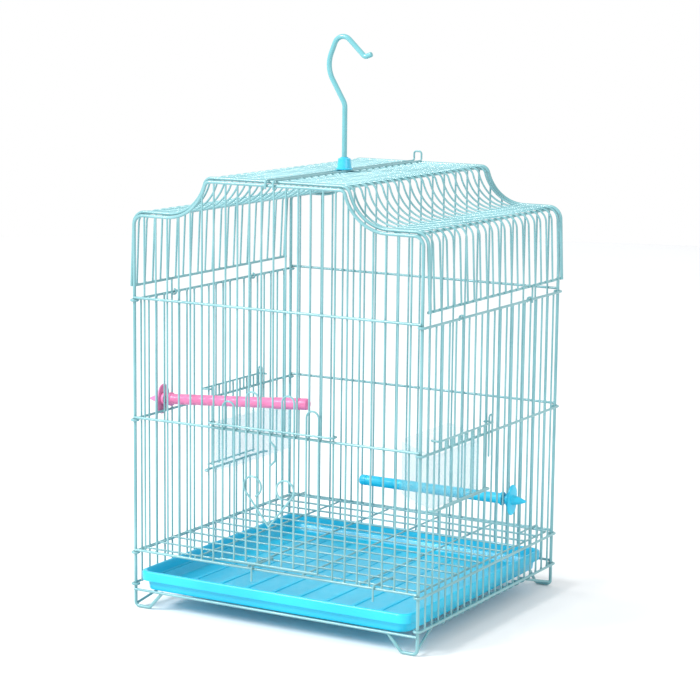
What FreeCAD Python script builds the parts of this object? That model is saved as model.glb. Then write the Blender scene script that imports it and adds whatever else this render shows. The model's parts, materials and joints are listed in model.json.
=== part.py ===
import FreeCAD, Part
import math
import os
import re

import Sketcher

# A small hanging bird cage of welded wire. The origin is at the middle of its footprint on the floor,
# +Z is up, the door is on the -Y side and +X is to the right of the door. Lengths are in millimetres.

SIZES = {
    # the cage box
    "width": 300.0,
    "depth": 275.0,
    "pitch": 12.5,
    "bar_radius": 0.9,
    "rail_radius": 1.2,
    "post_radius": 1.5,
    "weld": 0.2,
    "eye_gap": 0.2,
    "side_drop": 2.7,
    # levels of the level wires
    "sill_level": 17.5,
    "bottom_level": 25.0,
    "lower_level": 55.0,
    "left_feeder_level": 107.0,
    "right_feeder_level": 125.0,
    "middle_level": 180.0,
    "upper_level": 291.0,
    "skirt_level": 300.5,
    "shelf_level": 366.0,
    "crown_level": 400.5,
    # the shaped outline of the top
    "slope_start": 113.0,
    "slope_radius": 43.0,
    "crown_bend": 5.0,
    "shoulder_bend": 9.0,
    "roof_lift": 3.0,
    "skirt_flare": 2.4,
    # feet and tray hooks
    "foot_bend": 4.0,
    "foot_length": 15.5,
    "foot_span": 30.0,
    "tray_hook_bend": 3.5,
    "tray_hook_reach": 11.0,
    "tray_hook_sink": 0.1,
    "tray_rail_end_level": 4.0,
    "tray_rail_bend": 6.0,
    # tray
    "tray_base": 19.0,
    "tray_step": 28.0,
    "tray_top": 37.0,
    "tray_wall": 2.0,
    "tray_half": 142.3,
    "tray_inset": 5.0,
    "tray_front": 142.0,
    "tray_rear": 132.0,
    "tray_corner": 12.0,
    # door
    "door_gap": 0.35,
    "door_outer_top": 206.0,
    "door_inner_top": 217.0,
    "door_bar_level": 184.5,
    "door_foot_level": 60.2,
    "latch_low": 152.0,
    "latch_high": 175.0,
    "latch_slope": 5.5,
    "latch_bend": 2.2,
    "eye_bend": 2.0,
    "eye_depth": 2.3,
    "heart_level": 97.0,
    "heart_rise": 35.0,
    "heart_spread": 17.0,
    "heart_radius": 9.0,
    # floor grid
    "grid_half": 145.5,
    "grid_reach": 129.0,
    "grid_hook_gap": 0.5,
    "grid_hook_tail": 44.0,
    # feeders
    "feeder_length": 98.0,
    "feeder_depth": 36.0,
    "feeder_wall": 1.6,
    "feeder_base": -3.0,
    "feeder_base_inner": 9.0,
    "feeder_rim": 47.0,
    "feeder_rim_inner": 58.0,
    "feeder_gap": 0.5,
    "feeder_door_top": 187.0,
    "prong_low": 156.0,
    "prong_high": 194.0,
    "prong_half": 3.1,
    "lug_width": 6.0,
    "lug_height": 2.4,
    "lug_reach": 3.4,
    # perches
    "perch_radius": 5.0,
    "perch_length": 152.0,
    "flange_radius": 6.4,
    "flange_thickness": 2.5,
    "stud_radius": 2.6,
    "stud_length": 15.0,
    "nut_wing_radius": 9.4,
    "nut_wing_offset": 4.8,
    "nut_thickness": 2.6,
    "nut_boss_radius": 6.6,
    "nut_boss_length": 3.6,
    "nut_tip_length": 13.0,
    "nut_tip_radius": 1.6,
    "nut_hub_radius": 4.8,
    "perch_fit": 0.3,
    "pink_perch_level": 188.0,
    "pink_perch_tilt": 4.0,
    "pink_nut_turn": 20.0,
    "blue_perch_level": 107.0,
    "blue_nut_turn": 6.0,
    # hook
    "hook_x": -3.3,
    "hook_y": -8.5,
    "hook_radius": 2.4,
    "hook_elbow_level": 466.0,
    "hook_elbow_bend": 12.0,
    "hook_side_reach": 20.0,
    "hook_side_level": 499.3,
    "hook_side_bend": 27.0,
    "hook_peak_reach": 5.9,
    "hook_peak_level": 534.1,
    "hook_peak_bend": 9.5,
    "hook_lip_reach": 20.6,
    "hook_lip_level": 509.3,
    "hook_lip_bend": 3.5,
    "hook_tip_length": 6.4,
    "hook_tip_rise": 2.4,
    "collar_radius": 5.8,
    "collar_height": 9.0,
    "collar_ring_radius": 3.8,
    "collar_ring_height": 2.4,
    "collar_flange_radius": 7.8,
    "collar_flange_height": 1.4,
    "washer_radius": 10.0,
    "washer_height": 2.0,
    "bore_fit": 0.25,
    "curl_radius": 4.0,
    "curl_play": 1.0,
    "carrier_x": -3.0,
    "carrier_half": 4.0,
    "carrier_rise": 9.0,
    "carrier_drop": 3.0,
    "carrier_bend": 2.5,
}

FRONT_BAYS = 24
SIDE_BAYS = 22
DOOR_BARS = range(8, 17)
RIGHT_FEEDER_BARS = range(3, 10)
LEFT_FEEDER_BARS = range(11, 18)
TRAY_HOOK_BARS = range(4, 19)
GRID_CROSS_WIRES = 12
GRID_LONG_WIRES = 6

doc = FreeCAD.newDocument("bird_cage")
sheet = doc.addObject("Spreadsheet::Sheet", "Sizes")
for row, (alias, number) in enumerate(SIZES.items(), start=1):
    sheet.set("A%d" % row, alias)
    sheet.set("B%d" % row, str(number))
    sheet.setAlias("B%d" % row, alias)
doc.recompute()


def size(alias):
    """The value of one sheet cell, in millimetres."""
    return float(sheet.get(alias))


def formula(text):
    """A formula of sheet aliases, written the way an expression refers to them."""
    def cell(word):
        return "Sizes." + word.group() if word.group() in SIZES else word.group()
    return re.sub("[a-z_]+", cell, text)


def vector(x, y, z):
    return FreeCAD.Vector(x, y, z)


# ---------------------------------------------------------------- wires and groups of wires

ALONG = {
    "X": FreeCAD.Rotation(vector(0, 0, 1), vector(1, 0, 0)),
    "-X": FreeCAD.Rotation(vector(0, 0, 1), vector(-1, 0, 0)),
    "Y": FreeCAD.Rotation(vector(0, 0, 1), vector(0, 1, 0)),
    "Z": FreeCAD.Rotation(),
}


def place(piece, start, along="Z"):
    """Turn a primitive along an axis and bind its base point to three formulas."""
    piece.Placement = FreeCAD.Placement(vector(0, 0, 0), ALONG[along])
    for axis, text in zip("xyz", start):
        piece.setExpression("Placement.Base." + axis, formula(text))
    return piece


def straight(name, radius, length, start, along="Z"):
    """One straight wire, with its radius, length and start bound to the sheet."""
    piece = doc.addObject("Part::Cylinder", name)
    piece.setExpression("Radius", formula(radius))
    piece.setExpression("Height", formula(length))
    return place(piece, start, along)


def group(name, members):
    """A node made of separate solids that belong together."""
    node = doc.addObject("Part::Compound", name)
    node.Label = name
    node.Links = members
    return node


def feature(name, solids):
    """A node or a member whose bent wires are made in code from the sheet's values."""
    piece = doc.addObject("Part::Feature", name)
    piece.Label = name
    piece.Shape = Part.makeCompound(solids)
    piece.Placement = FreeCAD.Placement()
    return piece


def swept(edges, radius):
    """Round wire along a path, one solid for each run and each bend."""
    solids = []
    for edge in edges:
        start = edge.valueAt(edge.FirstParameter)
        ring = Part.makeCircle(radius, start, edge.tangentAt(edge.FirstParameter))
        solids.append(Part.Wire([edge]).makePipeShell([Part.Wire([ring])], True, False))
    return solids


def run(start, end):
    return Part.LineSegment(vector(*start), vector(*end)).toShape()


def path(points, bend):
    """Straight runs joined by tangent arcs: one bend radius, or a list with one for each corner."""
    corners = [vector(*point) for point in points]
    bends = bend if isinstance(bend, list) else [bend] * (len(points) - 2)
    edges = []
    start = corners[0]
    for before, corner, after, radius in zip(corners, corners[1:], corners[2:], bends):
        into = (corner - before).normalize()
        out = (after - corner).normalize()
        half_turn = into.getAngle(out) / 2
        reach = radius * math.tan(half_turn)
        first = corner - into * reach
        last = corner + out * reach
        middle = corner + (out - into).normalize() * (radius / math.cos(half_turn) - radius)
        if start.distanceToPoint(first) > 0.01:
            edges.append(Part.LineSegment(start, first).toShape())
        edges.append(Part.Arc(first, middle, last).toShape())
        start = last
    if start.distanceToPoint(corners[-1]) > 0.01:
        edges.append(Part.LineSegment(start, corners[-1]).toShape())
    return edges


def arc(centre, across, up, radius, start, end):
    """A round stretch in the plane of two directions, between two angles in degrees."""
    def point(angle):
        turn = math.radians(angle)
        return centre + across * (radius * math.cos(turn)) + up * (radius * math.sin(turn))
    return Part.Arc(point(start), point((start + end) / 2), point(end)).toShape()


def arcs(centre, across, up, radius, start, end, pieces):
    """The same round stretch in several shorter pieces."""
    step = (end - start) / pieces
    return [arc(centre, across, up, radius, start + step * i, start + step * (i + 1)) for i in range(pieces)]


RIGHT = vector(1, 0, 0)
BACK = vector(0, 1, 0)
UP = vector(0, 0, 1)

# ---------------------------------------------------------------- places worked out once

post_x = size("width") / 2 - size("post_radius")
panel_y = size("depth") / 2 - 1.0
rail_y = panel_y + size("bar_radius") + size("rail_radius") - size("weld")
eye_radius = size("post_radius") + size("eye_gap") + size("rail_radius")
side_rail_x = post_x + eye_radius
side_x = side_rail_x - size("bar_radius") - size("rail_radius") + size("weld")
door_y = rail_y + size("rail_radius") + size("door_gap") + size("bar_radius")
door_bar_y = door_y + 2 * size("bar_radius") - 0.1
feeder_door_x = side_rail_x + size("rail_radius") + size("door_gap") + size("bar_radius")
feeder_bar_x = feeder_door_x + 2 * size("bar_radius") - 0.1

# the same places as formulas for the sheet
POST_X = "(width / 2 - post_radius)"
PANEL_Y = "(depth / 2 - 1)"
RAIL_Y = "(%s + bar_radius + rail_radius - weld)" % PANEL_Y
SIDE_RAIL_X = "(%s + post_radius + eye_gap + rail_radius)" % POST_X
SIDE_X = "(%s - bar_radius - rail_radius + weld)" % SIDE_RAIL_X
DOOR_Y = "(%s + rail_radius + door_gap + bar_radius)" % RAIL_Y
DOOR_BAR_Y = "(%s + 2 * bar_radius - 0.1)" % DOOR_Y
FEEDER_DOOR_X = "(%s + rail_radius + door_gap + bar_radius)" % SIDE_RAIL_X


def front_station(index):
    return "-width / 2 + %d * pitch" % index


def side_station(index):
    return "-depth / 2 + %d * pitch" % index


def front_x(index):
    return -size("width") / 2 + index * size("pitch")


def side_y(index):
    return -size("depth") / 2 + index * size("pitch")


# ---------------------------------------------------------------- the shaped outline

slope_z = size("shelf_level") + size("slope_radius")
bend_z = size("crown_level") - size("crown_bend")
bend_x = size("slope_start") - math.sqrt(
    (size("slope_radius") + size("crown_bend")) ** 2 - (slope_z - bend_z) ** 2)
slope_turn = math.degrees(math.atan2(slope_z - bend_z, size("slope_start") - bend_x))
shoulder_x = post_x - size("shoulder_bend")
shoulder_z = size("shelf_level") - size("shoulder_bend")


def outline(lift, y):
    """The top's outline at one depth, without its legs: crown, bends, slopes, shelves, shoulders."""
    crown = size("crown_level") + lift
    shelf = size("shelf_level") + lift
    edges = [run((-bend_x, y, crown), (bend_x, y, crown))]
    for side in (-1, 1):
        across = RIGHT * side
        edges.append(arc(vector(side * bend_x, y, bend_z), across, UP,
                         size("crown_bend") + lift, 90, slope_turn))
        edges.extend(arcs(vector(side * size("slope_start"), y, slope_z), across, UP,
                          size("slope_radius") - lift, 180 + slope_turn, 270, 2))
        edges.append(run((side * size("slope_start"), y, shelf), (side * shoulder_x, y, shelf)))
        edges.append(arc(vector(side * shoulder_x, y, shoulder_z), across, UP,
                         size("shoulder_bend") + lift, 90, 0))
    return edges


def outline_height(x):
    """How high the panels' outline wire is at a place across the cage, as a formula."""
    if abs(x) < bend_x + size("crown_bend"):
        return "crown_level"
    if abs(x) < size("slope_start"):
        return "(shelf_level + slope_radius - sqrt(slope_radius ^ 2 - (slope_start - %g) ^ 2))" % abs(x)
    if abs(x) < shoulder_x:
        return "shelf_level"
    inset = abs(x) - shoulder_x
    return "(shelf_level - shoulder_bend + sqrt(shoulder_bend ^ 2 - %g ^ 2))" % inset


# ---------------------------------------------------------------- front and rear panels

def end_frame(name, y, foot_rail_level):
    """A panel's outer wire: the outline, both corner posts and the bent feet."""
    edges = outline(0, y)
    foot_z = size("post_radius")
    for side in (-1, 1):
        edges.extend(path([
            (side * post_x, y, shoulder_z),
            (side * post_x, y, foot_z),
            (side * (post_x - size("foot_length")), y, foot_z),
            (side * (post_x - size("foot_span")), y, foot_rail_level),
        ], size("foot_bend")))
    return feature(name, swept(edges, size("post_radius")))


def end_bars(name, y_formula, from_level, cut_bars):
    """The upright bars of a front or rear panel; the cut ones start at the middle wire."""
    bars = []
    for index in range(1, FRONT_BAYS):
        low = "middle_level" if index in cut_bars else from_level
        top = outline_height(front_x(index))
        bars.append(straight("%s_%d" % (name, index), "bar_radius", "%s - %s" % (top, low),
                             (front_station(index), y_formula, low)))
    return group(name, bars)


def end_rails(name, y_formula, levels):
    """The level wires welded across the outside of a front or rear panel."""
    rails = [straight("%s_%s" % (name, level), "rail_radius", "2 * " + POST_X,
                      ("-" + POST_X, y_formula, level), "X") for level in levels]
    return group(name, rails)


end_frame("front_frame", -panel_y, size("sill_level"))
end_frame("rear_frame", panel_y, size("bottom_level"))
end_bars("front_bars", "-" + PANEL_Y, "lower_level", DOOR_BARS)
end_bars("rear_bars", PANEL_Y, "bottom_level", [])
end_rails("front_rails", "-" + RAIL_Y,
          ["sill_level", "lower_level", "middle_level", "upper_level"])
end_rails("rear_rails", RAIL_Y,
          ["bottom_level", "lower_level", "middle_level", "upper_level"])

# ---------------------------------------------------------------- side panels

SIDE_LEVELS = ["bottom_level", "lower_level", "middle_level", "upper_level"]
TRAY_HOOK_RUN = "(sill_level + rail_radius - bar_radius - tray_hook_sink)"
TRAY_HOOK_TOP = "(%s + tray_hook_bend)" % TRAY_HOOK_RUN
tray_hook_run = size("sill_level") + size("rail_radius") - size("bar_radius") - size("tray_hook_sink")


def feeder_level(side):
    """The cell with the height of a side's feeder sill. The cup's heights are measured from it."""
    return "right_feeder_level" if side > 0 else "left_feeder_level"


def side_bars(name, side, feeder_bars):
    """The upright bars of a side panel; those at the feeder opening are in two lengths."""
    x = SIDE_X if side > 0 else "-" + SIDE_X
    bottom = "(bottom_level - side_drop)"
    bars = []
    for index in range(1, SIDE_BAYS):
        station = side_station(index)
        low = TRAY_HOOK_TOP if index in TRAY_HOOK_BARS else bottom
        label = "%s_%d" % (name, index)
        if index in feeder_bars:
            bars.append(straight(label + "_low", "bar_radius", feeder_level(side) + " - " + low,
                                 (x, station, low)))
            bars.append(straight(label + "_high", "bar_radius", "upper_level - middle_level",
                                 (x, station, "middle_level - side_drop")))
        else:
            bars.append(straight(label, "bar_radius", "upper_level - side_drop - " + low, (x, station, low)))
    return group(name, bars)


def tray_hooks(name, side):
    """The curled lower ends of the middle side bars, which carry the tray."""
    solids = []
    for index in TRAY_HOOK_BARS:
        y = side_y(index)
        edges = path([
            (side * side_x, y, tray_hook_run + size("tray_hook_bend")),
            (side * side_x, y, tray_hook_run),
            (side * (side_x - size("tray_hook_reach")), y, tray_hook_run),
        ], size("tray_hook_bend"))
        solids.extend(swept(edges, size("bar_radius")))
    return feature(name, solids)


def side_rails(name, side):
    """The level wires of a side panel, with their ends curled round the corner posts."""
    x = SIDE_RAIL_X if side > 0 else "-" + SIDE_RAIL_X
    rails = []
    eyes = []
    for level in SIDE_LEVELS:
        height = "%s - side_drop" % level
        rails.append(straight("%s_%s" % (name, level), "rail_radius", "2 * " + PANEL_Y,
                              (x, "-" + PANEL_Y, height), "Y"))
        z = size(level) - size("side_drop")
        for end in (-1, 1):
            centre = vector(side * post_x, end * panel_y, z)
            eyes.extend(swept(arcs(centre, RIGHT * side, BACK * end, eye_radius, 0, 250, 3),
                              size("rail_radius")))
    rails.append(feature(name + "_eyes", eyes))
    return group(name, rails)


def tray_rail(name, side):
    """The long wire under the tray hooks; its ends slope down and are welded to the corner posts."""
    x = side * (side_x - size("tray_hook_reach") + 1)
    z = size("sill_level") - size("bar_radius") - size("rail_radius") + 0.3
    reach = side_y(TRAY_HOOK_BARS[-1]) + 4
    edges = path([
        (side * (post_x - 1), 1 - panel_y, size("tray_rail_end_level")),
        (x, -reach, z),
        (x, reach, z),
        (side * (post_x - 1), panel_y - 1, size("tray_rail_end_level")),
    ], size("tray_rail_bend"))
    return feature(name, swept(edges, size("rail_radius")))


def feeder_sill(name, side, feeder_bars):
    """The wire under a feeder opening, with its ends turned in round the bars beside it."""
    first = side_y(feeder_bars[0] - 1) - 4
    last = side_y(feeder_bars[-1] + 1) + 4
    z = size(feeder_level(side))
    edges = path([
        (side * (side_x - 2), first, z),
        (side * side_rail_x, first, z),
        (side * side_rail_x, last, z),
        (side * (side_x - 2), last, z),
    ], 1.6)
    return feature(name, swept(edges, size("rail_radius")))


side_bars("left_bars", -1, LEFT_FEEDER_BARS)
side_bars("right_bars", 1, RIGHT_FEEDER_BARS)
side_rails("left_rails", -1)
side_rails("right_rails", 1)
tray_hooks("left_tray_hooks", -1)
tray_hooks("right_tray_hooks", 1)
tray_rail("left_tray_rail", -1)
tray_rail("right_tray_rail", 1)
feeder_sill("left_feeder_sill", -1, LEFT_FEEDER_BARS)
feeder_sill("right_feeder_sill", 1, RIGHT_FEEDER_BARS)

# ---------------------------------------------------------------- roof

roof_x = post_x + size("roof_lift")
roof_end_y = panel_y - 2 * size("post_radius") - 0.6
skirt_foot_x = roof_x + size("skirt_flare")
tie_sink = size("bar_radius") + size("rail_radius") - size("weld")


def hoop(y):
    """One roof wire with its two hanging skirts."""
    edges = outline(size("roof_lift"), y)
    for side in (-1, 1):
        edges.append(run((side * roof_x, y, shoulder_z), (side * skirt_foot_x, y, size("skirt_level"))))
    return edges


hoop_edges = []
for index in range(1, SIDE_BAYS):
    hoop_edges.extend(hoop(side_y(index)))
feature("roof_hoops", swept(hoop_edges, size("bar_radius")))
feature("roof_end_wires", swept(hoop(-roof_end_y) + hoop(roof_end_y), size("post_radius")))


def roof_tie(x, z):
    """A long wire under the hoops, from one end wire to the other."""
    return run((x, -roof_end_y, z), (x, roof_end_y, z))


crown_tie_z = size("crown_level") + size("roof_lift") - tie_sink
shelf_tie_z = size("shelf_level") + size("roof_lift") - tie_sink
tie_edges = []
for side in (-1, 1):
    tie_edges.append(roof_tie(side * (bend_x - 2), crown_tie_z))
    tie_edges.append(roof_tie(side * (size("slope_start") + 6), shelf_tie_z))
    tie_edges.append(roof_tie(side * (shoulder_x + 2), shelf_tie_z - 0.3))
    tie_edges.append(roof_tie(side * (skirt_foot_x - tie_sink), size("skirt_level") + 0.5))
feature("roof_ties", swept(tie_edges, size("rail_radius")))

CLIP_BAY = 5.5
clip_radius = size("rail_radius") + 0.4 + size("bar_radius")
side_top_z = size("upper_level") - size("side_drop")


def roof_clip(side, y):
    """The wire that holds the roof's skirt on a side panel's top wire."""
    across = RIGHT * side
    centre = vector(side * side_rail_x, y, side_top_z)
    stem_x = side * (side_rail_x + clip_radius)
    stem = run((stem_x, y, size("skirt_level") + 1), (stem_x, y, side_top_z))
    if side < 0:
        return [stem] + arcs(centre, across, UP, clip_radius, 0, -270, 4)
    over = arcs(centre, across, UP, clip_radius, 0, 180, 3)
    tails = [run((stem_x, y, side_top_z), (stem_x, y, side_top_z - 2.5)),
             run((side * (side_rail_x - clip_radius), y, side_top_z),
                 (side * (side_rail_x - clip_radius), y, side_top_z - 2.5))]
    return [stem] + over + tails


for label, side in (("roof_hinge_eyes", -1), ("roof_saddle_clips", 1)):
    clip_edges = []
    for end in (-1, 1):
        clip_edges.extend(roof_clip(side, end * CLIP_BAY * size("pitch")))
    feature(label, swept(clip_edges, size("bar_radius")))

carrier_z = size("crown_level") + size("roof_lift") + 2 * size("bar_radius") - 0.1
carrier_front = panel_y + size("post_radius") + size("bar_radius") + 0.4
carrier_back = roof_end_y + 1
carrier_left = size("carrier_x") - size("carrier_half")
carrier_right = size("carrier_x") + size("carrier_half")
carrier_foot_z = size("crown_level") - size("carrier_drop")
carrier_loop_z = carrier_z + size("carrier_rise")
carrier_edges = path([
    (carrier_left, -carrier_front, carrier_foot_z),
    (carrier_left, -carrier_front, carrier_z),
    (carrier_left, carrier_back, carrier_z),
    (carrier_left, carrier_back, carrier_loop_z),
    (carrier_right, carrier_back, carrier_loop_z),
    (carrier_right, carrier_back, carrier_z),
    (carrier_right, -carrier_front, carrier_z),
    (carrier_right, -carrier_front, carrier_foot_z),
], size("carrier_bend"))
feature("hook_carrier", swept(carrier_edges, size("bar_radius")))

# ---------------------------------------------------------------- hanging hook

washer_z = size("crown_level") + size("roof_lift") - size("bar_radius") - size("washer_height") - 0.1
COLLAR_Z = "(crown_level + roof_lift + 3 * bar_radius)"
WASHER_Z = "(crown_level + roof_lift - bar_radius - washer_height - 0.1)"


def hook_edges():
    """The hook's rod: lower curl, stem, sweep to the side, tight peak, straight run and turned-up tip."""
    x = size("hook_x")
    y = size("hook_y")
    loop = size("curl_radius")
    curl_z = washer_z - size("curl_play") - loop - size("hook_radius")
    curl = arcs(vector(x + loop, y, curl_z), RIGHT, UP, loop, 180, 450, 4)
    lip_x = x + size("hook_lip_reach")
    rod = path([
        (x, y, curl_z),
        (x, y, size("hook_elbow_level")),
        (x - size("hook_side_reach"), y, size("hook_side_level")),
        (x - size("hook_peak_reach"), y, size("hook_peak_level")),
        (lip_x, y, size("hook_lip_level")),
        (lip_x + size("hook_tip_length"), y, size("hook_lip_level") + size("hook_tip_rise")),
    ], [size("hook_%s_bend" % corner) for corner in ("elbow", "side", "peak", "lip")])
    return curl + rod


feature("hook_rod", swept(hook_edges(), size("hook_radius")))


def primitive(kind, name, start, along="Z", **sizes):
    """A part primitive with its sizes and base point bound to the sheet."""
    piece = doc.addObject(kind, name)
    for key, text in sizes.items():
        piece.setExpression(key, formula(text))
    return place(piece, start, along)


def fused(name, members):
    """One solid made of several primitives."""
    node = doc.addObject("Part::MultiFuse", name)
    node.Label = name
    node.Shapes = members
    return node


def cut(name, base, tool):
    """One solid with another taken out of it."""
    node = doc.addObject("Part::Cut", name)
    node.Label = name
    node.Base = base
    node.Tool = tool
    return node


HOOK = ("hook_x", "hook_y")
collar_body = fused("collar_body", [
    primitive("Part::Cylinder", "collar_flange", HOOK + (COLLAR_Z,),
              Radius="collar_flange_radius", Height="collar_flange_height"),
    primitive("Part::Cone", "collar_cone", HOOK + (COLLAR_Z,),
              Radius1="collar_radius + 0.8", Radius2="collar_radius", Height="collar_height"),
    primitive("Part::Cylinder", "collar_ring", HOOK + (COLLAR_Z,),
              Radius="collar_ring_radius", Height="collar_height + collar_ring_height"),
])
collar_bore = primitive("Part::Cylinder", "collar_bore", HOOK + (COLLAR_Z + " - 1",),
                        Radius="hook_radius + bore_fit", Height="collar_height + collar_ring_height + 2")
cut("hook_collar", collar_body, collar_bore)
washer_disc = primitive("Part::Cylinder", "washer_disc", HOOK + (WASHER_Z,),
                        Radius="washer_radius", Height="washer_height")
washer_bore = primitive("Part::Cylinder", "washer_bore", HOOK + (WASHER_Z + " - 1",),
                        Radius="hook_radius + bore_fit", Height="washer_height + 2")
cut("hook_washer", washer_disc, washer_bore)

# ---------------------------------------------------------------- front door

DOOR_PAIRS = ((8, "door_outer_top"), (10, "door_inner_top"), (13, "door_inner_top"), (15, "door_outer_top"))
door_members = []
hairpin_tops = []
for first, top in DOOR_PAIRS:
    half = size("pitch") / 2
    for index in (first, first + 1):
        door_members.append(straight("door_bar_%d" % index, "bar_radius",
                                     "%s - pitch / 2 - door_foot_level" % top,
                                     (front_station(index), "-" + DOOR_Y, "door_foot_level")))
    centre = vector(front_x(first) + half, -door_y, size(top) - half)
    hairpin_tops.extend(arcs(centre, RIGHT, UP, half, 0, 180, 3))
jog = size("latch_slope")
latch_edges = path([
    (0, -door_y, size("door_foot_level")),
    (0, -door_y, size("latch_low")),
    (jog, -door_y, size("latch_low") + jog),
    (jog, -door_y, size("latch_high") - jog),
    (0, -door_y, size("latch_high")),
    (0, -door_y, size("door_bar_level")),
], size("latch_bend"))
door_members.append(feature("door_hairpins", swept(hairpin_tops + latch_edges, size("bar_radius"))))
group("door_bars", door_members)


def guide_bar(place_at, low, high, line, behind):
    """A bar that stands proud of a panel, its ends turned back round two of the panel's bars."""
    eye = size("eye_depth")
    points = [(low, behind), (low - eye, behind), (low - eye, line),
              (high + eye, line), (high + eye, behind), (high, behind)]
    return path([place_at(along, out) for along, out in points], size("eye_bend"))


door_guide = guide_bar(lambda along, out: (along, out, size("door_bar_level")),
                       -front_x(17), front_x(17), -door_bar_y, size("eye_depth") - panel_y)
feature("door_top_bar", swept(door_guide, size("bar_radius")))
straight("door_foot_bar", "bar_radius", "8 * pitch + 2",
         ("-4 * pitch - 1", "-" + DOOR_BAR_Y, "door_foot_level + 0.9"), "X")


def heart_edges():
    """Two scrolls that rise from one point; each leg is tangent to its round curl."""
    tip = vector(0, -door_bar_y, size("heart_level"))
    radius = size("heart_radius")
    spread = size("heart_spread")
    rise = size("heart_rise")
    edges = []
    for side in (-1, 1):
        across = RIGHT * side
        centre = tip + across * spread + UP * rise
        away = math.degrees(math.atan2(-rise, -spread))
        touch = away + math.degrees(math.acos(radius / math.hypot(spread, rise)))
        turn = math.radians(touch)
        start = centre + across * (radius * math.cos(turn)) + UP * (radius * math.sin(turn))
        edges.append(Part.LineSegment(tip, start).toShape())
        edges.extend(arcs(centre, across, UP, radius, touch, touch + 290, 5))
    return edges


feature("door_heart", swept(heart_edges(), size("bar_radius")))

# ---------------------------------------------------------------- floor grid

CROSS_Z = "(lower_level + bar_radius)"
LONG_Z = "(lower_level - bar_radius + 0.2)"
cross_wires = []
for index in range(GRID_CROSS_WIRES):
    station = "-grid_reach + %d * 2 * grid_reach / %d" % (index, GRID_CROSS_WIRES - 1)
    cross_wires.append(straight("grid_cross_%d" % index, "bar_radius", "2 * grid_half",
                                ("-grid_half", station, CROSS_Z), "X"))
group("grid_cross_wires", cross_wires)
long_wires = []
for index in range(GRID_LONG_WIRES):
    station = "-grid_half + 1 + %d * (2 * grid_half - 2) / %d" % (index, GRID_LONG_WIRES - 1)
    long_wires.append(straight("grid_long_%d" % index, "bar_radius", "2 * grid_reach + 3",
                               (station, "-grid_reach - 1.5", LONG_Z), "Y"))
group("grid_long_wires", long_wires)

FRONT_HOOK_BAYS = (10.5, 20.5)
REAR_HOOK_BAYS = (1.5, 22.5)
grid_hook_radius = size("rail_radius") + size("grid_hook_gap") + size("bar_radius")
grid_step = 2 * size("grid_reach") / (GRID_CROSS_WIRES - 1)


def grid_hook(x, end):
    """A hook from the second cross wire out over the lower wire of a panel."""
    z = size("lower_level") + grid_hook_radius
    return path([
        (x, end * (size("grid_reach") - grid_step - 1), z),
        (x, end * (rail_y + grid_hook_radius), z),
        (x, end * (rail_y + grid_hook_radius), size("grid_hook_tail")),
    ], grid_hook_radius)


grid_hook_edges = []
for bay in FRONT_HOOK_BAYS:
    grid_hook_edges.extend(grid_hook(front_x(bay), -1))
for bay in REAR_HOOK_BAYS:
    grid_hook_edges.extend(grid_hook(front_x(bay), 1))
feature("grid_hooks", swept(grid_hook_edges, size("bar_radius")))

# ---------------------------------------------------------------- tray

tray = doc.addObject("PartDesign::Body", "tray")
tray.Label = "tray"


def origin_plane(body, role):
    return next(plane for plane in body.Origin.OriginFeatures if plane.Role == role)


def tray_outline(name, half, front, rear, level):
    """A rectangle about the middle, bound to the sheet, at one level of the tray."""
    sketch = tray.newObject("Sketcher::SketchObject", name)
    sketch.AttachmentSupport = (origin_plane(tray, "XY_Plane"), [""])
    sketch.MapMode = "FlatFace"
    sketch.setExpression("AttachmentOffset.Base.z", formula(level))
    left = "-(%s)" % half
    near = "-(%s)" % front
    corners = [(left, near), (half, near), (half, rear), (left, rear)]
    guess = [(-100, -100), (100, -100), (100, 100), (-100, 100)]
    for i in range(4):
        start = vector(*guess[i], 0)
        end = vector(*guess[(i + 1) % 4], 0)
        sketch.addGeometry(Part.LineSegment(start, end), False)
    for i in range(4):
        sketch.addConstraint(Sketcher.Constraint("Coincident", i, 2, (i + 1) % 4, 1))
    for i in range(4):
        for kind, text, value in zip(("DistanceX", "DistanceY"), corners[i], guess[i]):
            number = sketch.addConstraint(Sketcher.Constraint(kind, -1, 1, i, 1, value))
            sketch.setExpression("Constraints[%d]" % number, formula(text))
    doc.recompute()
    return sketch


def rounded(feature_name, base, radius, low, high):
    """Round the corners of the tray that stand upright between two levels, over their full height."""
    names = []
    for number, edge in enumerate(base.Shape.Edges, start=1):
        ends = sorted(vertex.Z for vertex in edge.Vertexes)
        if len(ends) == 2 and abs(ends[0] - low) < 0.01 and abs(ends[1] - high) < 0.01:
            names.append("Edge%d" % number)
    fillet = tray.newObject("PartDesign::Fillet", feature_name)
    fillet.Base = (base, names)
    fillet.setExpression("Radius", formula(radius))
    doc.recompute()
    return fillet


INNER = "tray_half - tray_inset"
base_pad = tray.newObject("PartDesign::Pad", "tray_base_pad")
base_pad.Profile = tray_outline("tray_base_outline", INNER, "tray_front - tray_inset",
                                "tray_rear - tray_inset", "tray_base")
base_pad.setExpression("Length", formula("tray_step - tray_base"))
doc.recompute()
rim_pad = tray.newObject("PartDesign::Pad", "tray_rim_pad")
rim_pad.Profile = tray_outline("tray_rim_outline", "tray_half", "tray_front", "tray_rear", "tray_step")
rim_pad.setExpression("Length", formula("tray_top - tray_step"))
doc.recompute()
hollow = tray.newObject("PartDesign::Pocket", "tray_hollow")
hollow.Profile = tray_outline("tray_hollow_outline", INNER + " - tray_wall",
                              "tray_front - tray_inset - tray_wall",
                              "tray_rear - tray_inset - tray_wall", "tray_top")
hollow.setExpression("Length", formula("tray_top - tray_base - tray_wall"))
doc.recompute()
base_round = rounded("tray_base_round", hollow, "tray_corner - 2", size("tray_base"), size("tray_step"))
rim_round = rounded("tray_rim_round", base_round, "tray_corner", size("tray_step"), size("tray_top"))
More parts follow.
